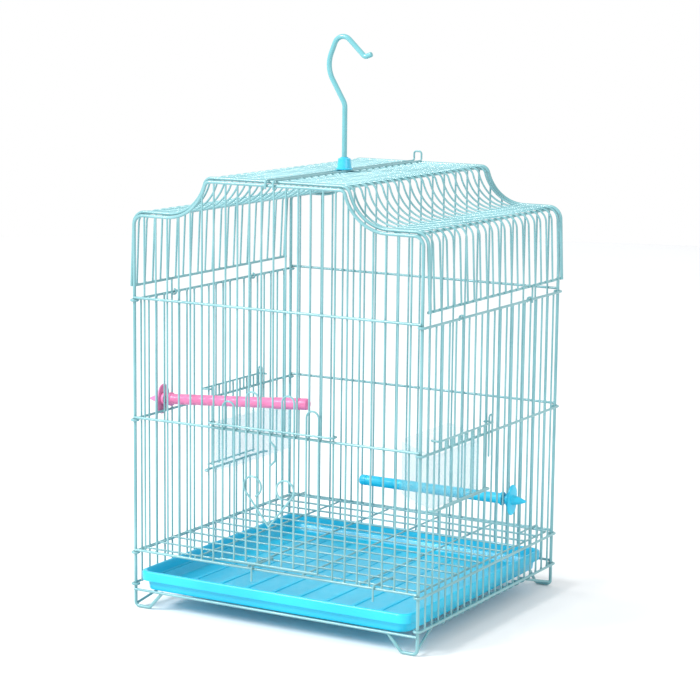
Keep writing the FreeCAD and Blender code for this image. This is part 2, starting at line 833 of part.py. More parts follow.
rounded("tray_hollow_round", rim_round, "tray_corner - 4",
                       size("tray_base") + size("tray_wall"), size("tray_top"))

# ---------------------------------------------------------------- feeders and feeder doors

def feeder(name, side, feeder_bars):
    """A hanging cup behind a feeder opening: a tapered box, hollow, with two lugs on the sill."""
    level = feeder_level(side)
    wall = "(%s - bar_radius - feeder_gap)" % SIDE_X
    sign = "" if side > 0 else "-"
    turn = FreeCAD.Rotation(vector(0, 0, 1), 90 if side > 0 else -90)

    def wedge(label, inset, top_extra):
        piece = doc.addObject("Part::Wedge", label)
        for key, text in {
            "Xmin": inset, "Xmax": "feeder_length - " + inset,
            "X2min": inset, "X2max": "feeder_length - " + inset,
            "Ymin": inset, "Ymax": "feeder_depth - " + inset,
            "Zmin": level + " + feeder_base + " + inset, "Zmax": level + " + feeder_rim + " + top_extra,
            "Z2min": level + " + feeder_base_inner + " + inset,
            "Z2max": level + " + feeder_rim_inner + " + top_extra,
        }.items():
            piece.setExpression(key, formula(text))
        piece.Placement = FreeCAD.Placement(vector(0, 0, 0), turn)
        offset = "-" if side > 0 else "+"
        centre = side_y((feeder_bars[0] + feeder_bars[-1]) / 2)
        piece.setExpression("Placement.Base.x", formula("%s%s" % (sign, wall)))
        piece.setExpression("Placement.Base.y", formula("%g %s feeder_length / 2" % (centre, offset)))
        return piece

    cup = cut(name + "_cup", wedge(name + "_outside", "0", "0"), wedge(name + "_inside", "feeder_wall", "5"))
    lugs = []
    for index in (feeder_bars[1], feeder_bars[-3]):
        lug = doc.addObject("Part::Box", "%s_lug_%d" % (name, index))
        lug.setExpression("Length", formula("feeder_gap + bar_radius + lug_reach"))
        lug.setExpression("Width", formula("lug_width"))
        lug.setExpression("Height", formula("lug_height"))
        start = "%s - weld" % wall if side > 0 else "-%s - feeder_gap - bar_radius - lug_reach + weld" % wall
        lugs.append(place(lug, (start, side_station(index) + " + pitch / 2 - lug_width / 2",
                                level + " + rail_radius + weld")))
    return fused(name, [cup] + lugs)


def feeder_door(name, side, feeder_bars):
    """A small sliding gate outside a feeder opening."""
    x = FEEDER_DOOR_X if side > 0 else "-" + FEEDER_DOOR_X
    level = feeder_level(side)
    members = [straight("%s_bar_%d" % (name, index), "bar_radius", "feeder_door_top - %s - 2.2" % level,
                        (x, side_station(index), level + " + 2.2")) for index in feeder_bars]
    first = side_y(feeder_bars[0] - 1)
    last = side_y(feeder_bars[-1] + 1)
    line = side * feeder_bar_x
    edges = guide_bar(lambda along, out: (out, along, size("feeder_door_top")),
                      first, last, line, side * (side_x - size("eye_depth")))
    foot_z = size(level) + 3.4
    edges.append(run((line, first + 8, foot_z), (line, last - 8, foot_z)))
    plane = side * feeder_door_x
    near = last - size("prong_half")
    far = last + size("prong_half")
    low = size("prong_low")
    high = size("prong_high")
    edges.extend(path([(plane, near, low), (plane, near, high), (plane, far, high), (plane, far, low)], 2.6))
    members.append(feature(name + "_bent_wires", swept(edges, size("bar_radius"))))
    return group(name, members)


feeder("left_feeder", -1, LEFT_FEEDER_BARS)
feeder("right_feeder", 1, RIGHT_FEEDER_BARS)
feeder_door("left_feeder_door", -1, LEFT_FEEDER_BARS)
feeder_door("right_feeder_door", 1, RIGHT_FEEDER_BARS)

# ---------------------------------------------------------------- perches

def perch(name, side, y, z, tilt, nut_turn):
    """A rod with a flange and stud, and the pointed wing nut that clamps it through the bars.

    Both are made along +X from the plane of the bars' middles, then turned and set on the panel.
    The nut's wings stand nearly upright, with their tops leaning to the back by nut_turn.
    """
    inner = "bar_radius + 1.3"
    rod = fused(name + "_rod", [
        primitive("Part::Cylinder", name + "_round", (inner, "0", "0"), "X",
                  Radius="perch_radius", Height="perch_length"),
        primitive("Part::Cylinder", name + "_flange", (inner, "0", "0"), "X",
                  Radius="flange_radius", Height="flange_thickness"),
        primitive("Part::Cylinder", name + "_stud", ("bar_radius + 2 - stud_length", "0", "0"), "X",
                  Radius="stud_radius", Height="stud_length"),
    ])
    outer = "-(bar_radius + 0.7)"
    wings = [primitive("Part::Cylinder", "%s_nut_wing_%d" % (name, number),
                       (outer + " - nut_boss_length", "0", height), "-X",
                       Radius="nut_wing_radius", Height="nut_thickness")
             for number, height in enumerate(("nut_wing_offset", "-nut_wing_offset"))]
    shell = fused(name + "_nut_shell", wings + [
        primitive("Part::Cylinder", name + "_nut_boss", (outer, "0", "0"), "-X",
                  Radius="nut_boss_radius", Height="nut_boss_length + 0.5"),
        primitive("Part::Cone", name + "_nut_tip", (outer + " - nut_boss_length", "0", "0"), "-X",
                  Radius1="nut_hub_radius", Radius2="nut_tip_radius",
                  Height="nut_thickness + nut_tip_length"),
    ])
    bore = primitive("Part::Cylinder", name + "_nut_bore", (outer + " + 1", "0", "0"), "-X",
                     Radius="stud_radius + perch_fit", Height="stud_length - bar_radius - 0.5")
    nut = cut(name + "_nut", shell, bore)
    about_z = FreeCAD.Rotation(UP, 0 if side < 0 else 180)
    about_y = FreeCAD.Rotation(BACK, -tilt)
    spot = FreeCAD.Placement(vector(side * side_x, y, z), about_z * about_y)
    rod.Placement = spot
    about_x = FreeCAD.Rotation(vector(1, 0, 0), side * nut_turn)
    nut.Placement = FreeCAD.Placement(spot.Base, spot.Rotation * about_x)


PINK_BAY = 4.5
BLUE_BAY = 13.5
perch("pink_perch", -1, side_y(PINK_BAY), size("pink_perch_level"), size("pink_perch_tilt"),
      size("pink_nut_turn"))
perch("blue_perch", 1, side_y(BLUE_BAY), size("blue_perch_level"), 0, size("blue_nut_turn"))

# ---------------------------------------------------------------- check and write

doc.recompute()
NODES = [
    "front_frame", "front_bars", "front_rails", "rear_frame", "rear_bars", "rear_rails",
    "left_bars", "left_rails", "left_tray_hooks", "left_tray_rail", "left_feeder_sill",
    "right_bars", "right_rails", "right_tray_hooks", "right_tray_rail", "right_feeder_sill",
    "roof_hoops", "roof_end_wires", "roof_ties", "roof_hinge_eyes", "roof_saddle_clips", "hook_carrier",
    "hook_rod", "hook_collar", "hook_washer", "door_bars", "door_top_bar", "door_foot_bar", "door_heart",
    "grid_cross_wires", "grid_long_wires", "grid_hooks", "tray", "left_feeder", "right_feeder",
    "left_feeder_door", "right_feeder_door", "pink_perch_rod", "pink_perch_nut",
    "blue_perch_rod", "blue_perch_nut",
]
for item in doc.Objects:
    if "Invalid" in item.State or "Error" in item.State:
        raise RuntimeError("%s failed: %s" % (item.Label, item.State))
os.makedirs("parts", exist_ok=True)
box = FreeCAD.BoundBox()
for label in NODES:
    shape = doc.getObjectsByLabel(label)[0].Shape
    if shape.isNull() or not shape.isValid():
        raise RuntimeError("%s has no valid shape" % label)
    box.add(shape.BoundBox)
    print("%-20s %3d solids %9.1f mm3" % (label, len(shape.Solids), shape.Volume))
    shape.exportStep("parts/%s.step" % label)
print("box", [round(v, 2) for v in (box.XMin, box.XMax, box.YMin, box.YMax, box.ZMin, box.ZMax)])
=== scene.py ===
# %% [markdown]
# A small wire bird cage. Its body, its lift-up roof, its door and its floor grid are all bent
# steel wire, spot-welded where wires cross and painted a light blue-green. The tray, the two
# clear cups, the two perches with their wing nuts, and the hook's collar and washer are moulded
# plastic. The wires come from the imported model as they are, because a wire needs no more shape
# than a round section and its bends. The plastic pieces are remade here with the thin walls and
# eased edges of mouldings.

# %% Load the frame
import json
import math

import bmesh
import bpy
from mathutils import Matrix, Vector


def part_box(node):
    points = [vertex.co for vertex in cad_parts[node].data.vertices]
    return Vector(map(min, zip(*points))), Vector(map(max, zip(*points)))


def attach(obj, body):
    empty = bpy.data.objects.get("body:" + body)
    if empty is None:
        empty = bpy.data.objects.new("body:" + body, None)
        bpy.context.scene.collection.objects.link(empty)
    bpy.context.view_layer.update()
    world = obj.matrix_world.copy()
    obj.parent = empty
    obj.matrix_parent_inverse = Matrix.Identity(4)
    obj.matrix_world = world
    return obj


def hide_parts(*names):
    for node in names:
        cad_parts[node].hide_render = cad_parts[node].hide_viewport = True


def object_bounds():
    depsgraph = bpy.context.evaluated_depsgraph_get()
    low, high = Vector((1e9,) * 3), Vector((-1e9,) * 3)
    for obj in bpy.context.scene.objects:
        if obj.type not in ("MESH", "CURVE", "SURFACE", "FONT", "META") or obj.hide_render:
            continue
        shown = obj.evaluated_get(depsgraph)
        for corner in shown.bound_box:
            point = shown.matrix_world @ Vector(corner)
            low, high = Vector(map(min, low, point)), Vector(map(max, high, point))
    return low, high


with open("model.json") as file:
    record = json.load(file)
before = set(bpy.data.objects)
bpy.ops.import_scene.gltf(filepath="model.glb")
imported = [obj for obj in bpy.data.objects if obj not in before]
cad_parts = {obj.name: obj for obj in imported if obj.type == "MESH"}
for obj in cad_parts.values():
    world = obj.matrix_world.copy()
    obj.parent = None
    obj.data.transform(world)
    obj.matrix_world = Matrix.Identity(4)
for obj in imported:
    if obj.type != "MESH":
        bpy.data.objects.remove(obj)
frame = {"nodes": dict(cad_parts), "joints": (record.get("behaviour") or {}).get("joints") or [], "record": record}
cad_low, cad_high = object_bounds()
scene = bpy.context.scene
print("box in mm:", [round(1000 * (high - low), 1) for low, high in zip(cad_low, cad_high)])
print("nodes of wire and moulded pieces:", len(frame["nodes"]))

# %% [markdown]
# The studio is plain: a white room, a white floor under the cage's feet and two soft square
# lamps, a strong one from the upper left and a weak one from the right. Thin bright wire shows
# its roundness only when one side is lighter than the other, so the left lamp is much stronger
# than the right one, and the paint's own colour is kept dark enough that the lit sides don't
# wash out. The camera looks from the front right, a little above the cage.

# %% Camera
AZIMUTH, ELEVATION, ROLL = math.radians(29.8), math.radians(9.4), math.radians(0.62)
DISTANCE = 2.108
LENS_MM, SENSOR_MM = 116.07, 36
TARGET = Vector((0, 0, 0.237))

back = Vector((math.sin(AZIMUTH) * math.cos(ELEVATION),
               -math.cos(AZIMUTH) * math.cos(ELEVATION),
               math.sin(ELEVATION)))
level_right = (-back).cross(Vector((0, 0, 1))).normalized()
level_up = level_right.cross(-back)
right = math.cos(ROLL) * level_right + math.sin(ROLL) * level_up
up = -math.sin(ROLL) * level_right + math.cos(ROLL) * level_up

camera = bpy.data.objects.new("camera", bpy.data.cameras.new("camera"))
scene.collection.objects.link(camera)
camera.data.lens = LENS_MM
camera.data.sensor_width = SENSOR_MM
turned = Matrix((right, up, back)).transposed().to_4x4()
camera.matrix_world = Matrix.Translation(TARGET + back * DISTANCE) @ turned
scene.camera = camera
print("camera at", [round(value, 3) for value in camera.matrix_world.translation])

# %% Lamps and room
def soft_lamp(name, place, size, power):
    """A square lamp at a place, aimed at the cage's middle."""
    lamp = bpy.data.objects.new(name, bpy.data.lights.new(name, "AREA"))
    scene.collection.objects.link(lamp)
    lamp.data.size = size
    lamp.data.energy = power
    lamp.location = place
    lamp.rotation_euler = (TARGET - Vector(place)).to_track_quat("-Z", "Y").to_euler()
    print(name, "at", place, "with", power, "W")


soft_lamp("key_lamp", (-1.5, -2.1, 2.3), 1.0, 110)
soft_lamp("side_lamp", (2.4, -1.2, 1.2), 1.4, 15)

scene.world = bpy.data.worlds.new("white_room")
scene.world.use_nodes = True
room = scene.world.node_tree.nodes["Background"]
room.inputs["Color"].default_value = (1, 1, 1, 1)
room.inputs["Strength"].default_value = 1.0
scene.view_settings.view_transform = "Standard"

# %% [markdown]
# Every finish here is a coloured surface with small unevenness: paint pools a little between
# the sprayed layers, and a moulding shows faint flow and a fine skin. One helper makes them
# all. A slow noise mixes two close colours, a finer one roughens the gloss, and the finest one
# tilts the light as a relief of one to three hundredths of a millimetre would. All three read
# Object coordinates, so they have a real size and need no unwrapping. The coat and how clear a
# piece is are plain numbers on the shader, because they are the same all over.

# %% The finish helper
def noise(tree, place, grain, detail):
    """A noise texture whose features are about grain metres across."""
    texture = tree.nodes.new("ShaderNodeTexNoise")
    texture.inputs["Scale"].default_value = 1 / grain
    texture.inputs["Detail"].default_value = detail
    tree.links.new(place, texture.inputs["Vector"])
    return texture.outputs["Fac"]


PATCH_LOW, PATCH_HIGH = 0.35, 0.65
PATCH_DETAIL, FINE_DETAIL = 3, 2
GLOSS_GRAIN = 6
RELIEF_SHARE = 0.6
COAT_ROUGHNESS = 0.08


def finish(name, light, dark, patch, skin, relief, smooth, rough, coat=0.0, alpha=1.0):
    """A finish with two close colours in patches, a fine raised skin and an uneven gloss.
    Patch, skin and relief are in metres. Smooth and rough are the two ends of the roughness."""
    material = bpy.data.materials.new(name)
    material.use_nodes = True
    tree = material.node_tree
    shader = tree.nodes["Principled BSDF"]
    place = tree.nodes.new("ShaderNodeTexCoord").outputs["Object"]

    colour = tree.nodes.new("ShaderNodeMix")
    colour.data_type = "RGBA"
    colour.inputs["A"].default_value = (*dark, 1)
    colour.inputs["B"].default_value = (*light, 1)
    spread = tree.nodes.new("ShaderNodeMapRange")
    spread.inputs["From Min"].default_value = PATCH_LOW
    spread.inputs["From Max"].default_value = PATCH_HIGH
    tree.links.new(noise(tree, place, patch, PATCH_DETAIL), spread.inputs["Value"])
    tree.links.new(spread.outputs["Result"], colour.inputs["Factor"])
    tree.links.new(colour.outputs["Result"], shader.inputs["Base Color"])

    gloss = tree.nodes.new("ShaderNodeMapRange")
    gloss.inputs["To Min"].default_value = smooth
    gloss.inputs["To Max"].default_value = rough
    tree.links.new(noise(tree, place, skin * GLOSS_GRAIN, FINE_DETAIL), gloss.inputs["Value"])
    tree.links.new(gloss.outputs["Result"], shader.inputs["Roughness"])

    raised = tree.nodes.new("ShaderNodeBump")
    raised.inputs["Strength"].default_value = RELIEF_SHARE
    raised.inputs["Distance"].default_value = relief
    tree.links.new(noise(tree, place, skin, FINE_DETAIL), raised.inputs["Height"])
    tree.links.new(raised.outputs["Normal"], shader.inputs["Normal"])

    shader.inputs["Coat Weight"].default_value = coat
    shader.inputs["Coat Roughness"].default_value = COAT_ROUGHNESS
    shader.inputs["Alpha"].default_value = alpha
    print(name, "patches", round(1000 * patch, 1), "mm, skin", round(1000 * skin, 2), "mm")
    return material


# %% [markdown]
# The wire's paint is a sprayed or dipped coating. It is glossy and a little uneven in depth. The
# hook has the same paint, a shade stronger, on thicker rod. The tray and collar are glossy
# coloured plastic, the perches have a satin skin, and the cups are a milky plastic that lets
# most of the light through.

# %% The finishes, by the record's slots
finishes = {
    "cage_wire": finish(
        "wire_paint", light=(0.20, 0.42, 0.45), dark=(0.14, 0.34, 0.37),
        patch=0.045, skin=0.0016, relief=0.000012, smooth=0.24, rough=0.40, coat=0.35),
    "hook_wire": finish(
        "hook_paint", light=(0.15, 0.43, 0.47), dark=(0.11, 0.36, 0.40),
        patch=0.050, skin=0.0018, relief=0.000015, smooth=0.18, rough=0.34, coat=0.5),
    "collar_plastic": finish(
        "collar_plastic", light=(0.03, 0.50, 0.72), dark=(0.02, 0.43, 0.64),
        patch=0.012, skin=0.0008, relief=0.00002, smooth=0.20, rough=0.34, coat=0.4),
    "tray_plastic": finish(
        "tray_plastic", light=(0.010, 0.53, 0.76), dark=(0.006, 0.45, 0.68),
        patch=0.090, skin=0.0016, relief=0.00002, smooth=0.26, rough=0.42, coat=0.15),
    "feeder_plastic": finish(
        "cup_plastic", light=(0.34, 0.62, 0.68), dark=(0.26, 0.53, 0.59),
        patch=0.040, skin=0.0014, relief=0.00002, smooth=0.30, rough=0.46, alpha=0.15),
    "pink_plastic": finish(
        "pink_plastic", light=(0.74, 0.20, 0.41), dark=(0.63, 0.15, 0.33),
        patch=0.014, skin=0.0008, relief=0.00003, smooth=0.32, rough=0.50, coat=0.1),
    "blue_plastic": finish(
        "blue_plastic", light=(0.012, 0.52, 0.74), dark=(0.008, 0.44, 0.66),
        patch=0.014, skin=0.0008, relief=0.00003, smooth=0.30, rough=0.48, coat=0.1),
}
node_slot = {part["node"]: part["material_slot"] for part in frame["record"]["subparts"]}
for node, slot in node_slot.items():
    shown = frame["nodes"][node]
    shown.data.materials.clear()
    shown.data.materials.append(finishes[slot])
print("nodes painted:", len(node_slot))

# %% [markdown]
# The floor is a broad disc just under the feet, and nearly plain white. It only has to catch
# the cage's soft shadow.

# %% Floor
FLOOR_RADIUS = 3.0
UNDER_FEET = 0.0002
floor_white = finish(
    "floor_white", light=(0.86, 0.87, 0.88), dark=(0.84, 0.85, 0.86),
    patch=0.4, skin=0.004, relief=0.00002, smooth=0.7, rough=0.9)
work = bmesh.new()
bmesh.ops.create_circle(work, cap_ends=True, segments=96, radius=FLOOR_RADIUS)
bmesh.ops.translate(work, verts=work.verts, vec=(0, 0, cad_low.z - UNDER_FEET))
floor_mesh = bpy.data.meshes.new("floor")
work.to_mesh(floor_mesh)
work.free()
floor_mesh.materials.append(floor_white)
floor = bpy.data.objects.new("floor", floor_mesh)
scene.collection.objects.link(floor)
print("floor at", round(1000 * floor_mesh.vertices[0].co.z, 2), "mm")

# %% [markdown]
# A few helpers make most of the new pieces. The first turns a finished bmesh into an object
# that rides on a body, takes its slot's finish and stands for its CAD node. Turned pieces come
# from a lathe: a profile of (distance along the axis, radius) is spun round once and then laid
# along its real axis, which is what the real mould's round cavity does to the plastic.

# %% Pieces, and the lathe
def add_piece(name, work, body, slot, stands_for=(), keep_sharp=35):
    """Makes an object of a bmesh in the row's frame, smooth but for its corners, and frees it."""
    bmesh.ops.recalc_face_normals(work, faces=work.faces)
    mesh = bpy.data.meshes.new(name)
    work.to_mesh(mesh)
    work.free()
    mesh.shade_smooth()
    mesh.set_sharp_from_angle(angle=math.radians(keep_sharp))
    mesh.materials.append(finishes[slot])
    piece = bpy.data.objects.new(name, mesh)
    scene.collection.objects.link(piece)
    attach(piece, body)
    if stands_for:
        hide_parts(*stands_for)
    size = [max(vert.co[i] for vert in mesh.vertices) - min(vert.co[i] for vert in mesh.vertices)
            for i in range(3)]
    print(name, len(mesh.polygons), "faces,", [round(1000 * value, 1) for value in size], "mm")


def lay_along(verts, work, start, along):
    """Turns verts made up the Z axis to lie along a direction, and moves them to a start."""
    turn = Vector((0, 0, 1)).rotation_difference(Vector(along)).to_matrix()
    bmesh.ops.rotate(work, verts=verts, cent=(0, 0, 0), matrix=turn)
    bmesh.ops.translate(work, verts=verts, vec=start)


def lathe(work, profile, start, along, steps=48):
    """Spins a profile of (distance, radius) points, in mm, into a closed round solid."""
    before = set(work.verts)
    line = [work.verts.new((radius / 1000, 0, distance / 1000)) for distance, radius in profile]
    edges = [work.edges.new(pair) for pair in zip(line, line[1:])]
    bmesh.ops.spin(work, geom=line + edges, cent=(0, 0, 0), axis=(0, 0, 1), angle=2 * math.pi,
                   steps=steps, use_merge=True)
    spun = [vert for vert in work.verts if vert not in before]
    bmesh.ops.remove_doubles(work, verts=spun, dist=1e-7)
    lay_along([vert for vert in work.verts if vert not in before], work, start, along)


# %% [markdown]
# A moulding such as a tray is a base outline with walls drawn up from it. One helper lays down
# a level plate with round corners. The next pushes the newest face outwards and upwards by one
# step, so a list of steps reads like the moulding's section: up the wall, over the rim and down
# the inside. Small bars and lugs are blocks with eased edges, sunk a little way into it.

# %% Plates, steps and blocks
def step(work, face, grow, rise):
    """Extrudes a level face by one step: grow outwards on every side and rise, both in mm.
    The first face stays as the bottom. Later ones have walls already, so they are taken out."""
    middle = face.calc_center_median()
    half = [max(abs(vert.co[i] - middle[i]) for vert in face.verts) for i in range(2)]
    is_bottom = any(edge.is_boundary for edge in face.edges)
    made = bmesh.ops.extrude_face_region(work, geom=[face])["geom"]
    new_face = next(part for part in made if isinstance(part, bmesh.types.BMFace))
    if not is_bottom:
        bmesh.ops.delete(work, geom=[face], context="FACES_ONLY")
    verts = list(new_face.verts)
    bmesh.ops.scale(work, verts=verts, space=Matrix.Translation(-middle),
                    vec=(*((reach + grow / 1000) / reach for reach in half), 1))
    bmesh.ops.translate(work, verts=verts, vec=(0, 0, rise / 1000))
    return new_face


def eased_block(work, size, middle, ease):
    """A block with softened edges, by its size and its middle."""
    verts = bmesh.ops.create_cube(work, size=1.0)["verts"]
    bmesh.ops.scale(work, verts=verts, vec=size)
    bmesh.ops.translate(work, verts=verts, vec=middle)
    edges = list({edge for vert in verts for edge in vert.link_edges})
    bmesh.ops.bevel(work, geom=edges, affect="EDGES", offset=ease, offset_type="OFFSET", segments=2,
                    profile=0.5, material=-1)


def rounded_plate(work, low, high, level, corner):
    """A level rectangle with round corners, between two (x, y) corners, in metres."""
    verts = [work.verts.new((*place, level))
             for place in ((low[0], low[1]), (high[0], low[1]), (high[0], high[1]), (low[0], high[1]))]
    work.faces.new(verts)
    bmesh.ops.bevel(work, geom=verts, affect="VERTICES", offset=corner, offset_type="OFFSET",
                    segments=8, profile=0.5, material=-1)
    return max(work.faces, key=lambda face: face.calc_area())


# %% [markdown]
# The tray is one thin moulded shell. A narrower foot stands in from the wall, and the wall
# steps out above it to a plain upper band with a rounded edge. It is built up from the base
# outline in steps, out and up over the edge, then in and down to the floor, where a second
# step follows the first one. The floor has low ribs from front to back, which stiffen it. They
# are separate bars with eased edges, sunk halfway into it.

# %% Tray
TRAY_FOOT_INSET, TRAY_CORNER = 0.0058, 0.010
TRAY_OUTSIDE = ((0.6, 0.25), (0.3, 0.65), (0.4, 3.6), (0.5, 3.6), (0.3, 0.5), (3.2, 0.4), (0.4, 0.3),
                (0.1, 6.9))
TRAY_EDGE = ((-0.2, 0.9), (-0.5, 0.6), (-0.7, 0.3), (-1.3, 0.0), (-0.5, -0.3), (-0.4, -0.8))
TRAY_INSIDE = ((-0.4, -7.4), (-0.4, -0.5), (-3.0, -0.4), (-0.4, -0.5), (-1.3, -5.2), (-0.5, -0.7),
               (-0.9, -0.5), (-1.2, -0.2))
RIBS = 9
RIB_WIDTH, RIB_THICKNESS, RIB_EASE = 0.005, 0.0014, 0.0005
RIB_ENDS = 0.060

low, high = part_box("tray")
work = bmesh.new()
face = rounded_plate(work, (low.x + TRAY_FOOT_INSET, low.y + TRAY_FOOT_INSET),
                     (high.x - TRAY_FOOT_INSET, high.y - TRAY_FOOT_INSET), low.z, TRAY_CORNER)
for grow, rise in TRAY_OUTSIDE + TRAY_EDGE + TRAY_INSIDE:
    face = step(work, face, grow, rise)
floor_level = face.calc_center_median().z
top_level = max(vert.co.z for vert in work.verts)
print("tray floor at", round(1000 * floor_level, 2), "mm, edge at", round(1000 * top_level, 2), "mm")

rib_size = (RIB_WIDTH, high.y - low.y - RIB_ENDS, RIB_THICKNESS)
for number in range(RIBS):
    across = low.x + (high.x - low.x) * (number + 1) / (RIBS + 1)
    eased_block(work, rib_size, (across, (low.y + high.y) / 2, floor_level), RIB_EASE)
add_piece("tray_shell", work, "tray", "tray_plastic", ["tray"])

# %% [markdown]
# Each seed cup is a small box that hangs inside a feeder opening by two lugs on the sill. It is
# moulded thin, with rounded corners and a rounded rim. Its floor and its rim both run up
# towards the bird. It is first built level, in the same steps as the tray, and then every point
# is moved up or down by how far it is from the side panel, which gives the slope.

# %% Seed cups
CUP_FOOT_INSET, CUP_CORNER = 0.0012, 0.0045
CUP_LEVEL_HEIGHT = 0.050
CUP_FLOOR_CLIMB, CUP_RIM_CLIMB = 0.012, 0.011
CUP_OUTSIDE = ((0.6, 0.3), (0.3, 0.6), (0.2, 1000 * CUP_LEVEL_HEIGHT - 5.0), (0.1, 0.4), (0.0, 3.0))
CUP_RIM = ((-0.2, 0.5), (-0.4, 0.2), (-0.9, 0.0), (-0.4, -0.2), (-0.2, -0.5))
CUP_INSIDE = ((-0.1, 4.0 - 1000 * CUP_LEVEL_HEIGHT), (-0.4, -1.3), (-0.8, -0.6))
LUG_SIZE = (0.0052, 0.006, 0.0024)
LUG_REACH, LUG_PLACE, LUG_LEVEL, LUG_EASE = 0.0046, 0.0020, 0.0056, 0.0004
LUG_OFFSET = 0.01875


def seed_cup(low, high, near, far):
    """A cup's shell, from its outer wall at x = near to its inner wall at x = far."""
    left, right_end = min(near, far), max(near, far)
    work = bmesh.new()
    face = rounded_plate(work, (left + CUP_FOOT_INSET, low.y + CUP_FOOT_INSET),
                         (right_end - CUP_FOOT_INSET, high.y - CUP_FOOT_INSET), 0.0, CUP_CORNER)
    for grow, rise in CUP_OUTSIDE + CUP_RIM + CUP_INSIDE:
        face = step(work, face, grow, rise)
    for vert in work.verts:
        inward = abs(vert.co.x - near) / abs(far - near)
        bottom = low.z + CUP_FLOOR_CLIMB * inward
        top = high.z - CUP_RIM_CLIMB * (1 - inward)
        vert.co.z = bottom + (top - bottom) * vert.co.z / CUP_LEVEL_HEIGHT
    return work


for name, side in (("left_feeder", -1), ("right_feeder", 1)):
    low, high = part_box(name)
    outer, inner = (high.x, low.x) if side > 0 else (low.x, high.x)
    near = outer - side * LUG_REACH
    work = seed_cup(low, high, near, inner)
    middle = (low.y + high.y) / 2
    for place in (middle - LUG_OFFSET, middle + LUG_OFFSET):
        eased_block(work, LUG_SIZE, (near + side * LUG_PLACE, place, low.z + LUG_LEVEL), LUG_EASE)
    add_piece(name + "_cup", work, name, "feeder_plastic", [name])

# %% [markdown]
# A perch is a round rod with a stud on its outer end. The rod's end is a little wider than the
# gap between the bars, and the wing nut outside pulls it tight against them. The rod is made on
# the lathe helper, with shallow rings along it that give a bird's feet some grip. The pink one
# has a slightly thicker sleeve over its inner end.

# %% Perch rods
PINK_TILT = math.radians(4)
STUD_AND_END = ((-12.1, 0), (-12.1, 2.2), (-11.7, 2.6), (2.2, 2.6), (2.2, 6.0), (2.6, 6.4), (4.2, 6.4),
                (4.7, 6.0), (5.4, 5.2), (7.0, 4.95))
RING = ((-0.9, 4.95), (-0.5, 4.7), (0.5, 4.7), (0.9, 4.95))
SLEEVE = ((117.4, 4.95), (118.0, 5.4), (145.0, 5.4), (145.5, 4.8), (146.6, 4.8), (147.1, 5.4), (151.5, 5.4),
          (153.2, 4.9), (154.0, 3.6), (154.2, 0))
PLAIN_TIP = ((145.5, 4.95), (146.0, 4.5), (147.0, 4.5), (147.5, 5.0), (151.6, 5.0), (153.4, 4.4),
             (154.1, 3.0), (154.2, 0))


def perch_line(name, tilt, side):
    """Where the bars' middle plane meets a perch's axis, and the direction inwards."""
    inward = Vector((-side * math.cos(tilt), 0, math.sin(tilt)))
    stud = next(joint for joint in frame["joints"] if joint["child"] == name + "_nut")
    return Vector(stud["pos_m"]), inward


def perch_rod(name, slot, start, inward, ring_places, tip):
    """A rod from its stud's end to its inner end, with rings at the given places in mm."""
    rings = [(place + distance, radius) for place in ring_places for distance, radius in RING]
    work = bmesh.new()
    lathe(work, [*STUD_AND_END, *rings, *tip], start, inward)
    add_piece(name + "_turned", work, "cage", slot, [name + "_rod"])


pink_start, pink_inward = perch_line("pink_perch", PINK_TILT, -1)
blue_start, blue_inward = perch_line("blue_perch", 0, 1)
perch_rod("pink_perch", "pink_plastic", pink_start, pink_inward, range(20, 115, 12), SLEEVE)
perch_rod("blue_perch", "blue_plastic", blue_start, blue_inward, range(20, 140, 12), PLAIN_TIP)

# %% [markdown]
# Each wing nut is a leaf-shaped plate across a pointed hub, so that it can be turned with two
# fingers. The plate starts as a round outline that is pulled out into two wings, and then gets
# its thickness and its soft edge in steps. The hub goes right through it on the lathe.

# %% Wing nuts
WING_HALF_LENGTH, WING_HALF_WIDTH, WING_TAPER = 14.2, 8.8, 2.4
WING_START = 0.0052
WING_EDGE = ((0.6, 0.25), (0.4, 0.55), (0.0, 0.7), (-0.4, 0.45), (-1.0, 0.35), (-2.2, 0.15))
HUB = ((1.7, 0), (1.7, 5.9), (2.0, 6.4), (3.2, 6.6), (4.4, 6.2), (5.4, 5.9), (7.6, 5.0), (8.6, 4.5),
       (10.5, 4.1), (13.0, 3.5), (16.0, 2.6), (18.8, 1.6), (20.2, 0.9), (20.7, 0.3), (20.8, 0))
PINK_LEAN, BLUE_LEAN = math.radians(20), math.radians(6)


def wing_plate(work):
    """A leaf-shaped plate, lying level, with its wings along Y."""
    bmesh.ops.create_circle(work, cap_ends=True, segments=56, radius=0.001)
    for vert in work.verts:
        way = vert.co.normalized()
        reach = WING_HALF_WIDTH + (WING_HALF_LENGTH - WING_HALF_WIDTH) * abs(way.y) ** WING_TAPER
        vert.co = way * (reach - 1.0) / 1000
        vert.co.z = WING_START
    work.faces.ensure_lookup_table()
    face = work.faces[0]
    for grow, rise in WING_EDGE:
        face = step(work, face, grow, rise)
    return list(work.verts)


def wing_nut(name, body, slot, start, outward, lean):
    """A nut with its wings upright, leaning back at their tops, and its hub pointing out."""
    work = bmesh.new()
    plate = wing_plate(work)
    tops = Vector((0, math.sin(lean), math.cos(lean)))
    tops = (tops - outward * tops.dot(outward)).normalized()
    sideways = tops.cross(outward).normalized()
    turn = Matrix((sideways, tops, outward)).transposed()
    bmesh.ops.rotate(work, verts=plate, cent=(0, 0, 0), matrix=turn)
    bmesh.ops.translate(work, verts=plate, vec=start)
    lathe(work, HUB, start, outward)
    add_piece(name, work, body, slot, [body])


wing_nut("pink_wing_nut", "pink_perch_nut", "pink_plastic", pink_start, -pink_inward, PINK_LEAN)
wing_nut("blue_wing_nut", "blue_perch_nut", "blue_plastic", blue_start, -blue_inward, BLUE_LEAN)

